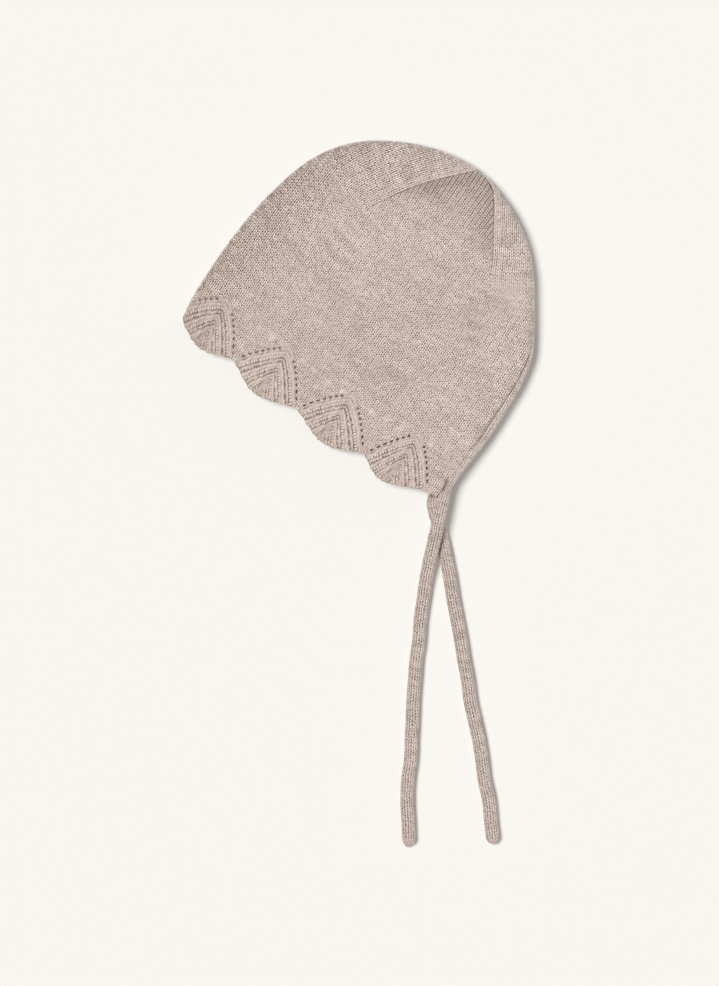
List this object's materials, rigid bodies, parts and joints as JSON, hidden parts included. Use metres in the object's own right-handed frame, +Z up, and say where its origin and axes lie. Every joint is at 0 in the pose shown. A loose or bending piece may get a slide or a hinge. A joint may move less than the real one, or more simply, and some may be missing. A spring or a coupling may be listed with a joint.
{
  "type": "knitted baby bonnet",
  "caption": "Fine-knit baby bonnet lying flat on its side, with a scalloped lace face edge, shaped back, corded neck edge and long knitted ties.",
  "frame": {"origin": "middle of the lying bonnet's box, without its ties, on the surface that it lies on", "axes": "+X along the face edge from the forehead to the chin, +Y from the face edge to the back of the head, +Z up from the surface"},
  "size_m": [0.3085, 0.3283, 0.0232],
  "materials": {
    "knit": "fine plain knit in a beige melange wool",
    "lace": "ribbed lace knit with eyelets in a beige melange wool",
    "cord": "narrow knitted cord in a beige melange wool"
  },
  "bodies": {
    "root": {"crown": "knit", "scallop_near_1": "lace", "scallop_near_2": "lace", "scallop_near_3": "lace", "scallop_near_4": "lace", "scallop_far_1": "lace", "scallop_far_2": "lace", "scallop_far_3": "lace", "scallop_far_4": "lace", "neck_cord_near": "cord", "neck_cord_far": "cord", "tie_near": "cord", "tie_far": "cord"}
  },
  "joints": []
}
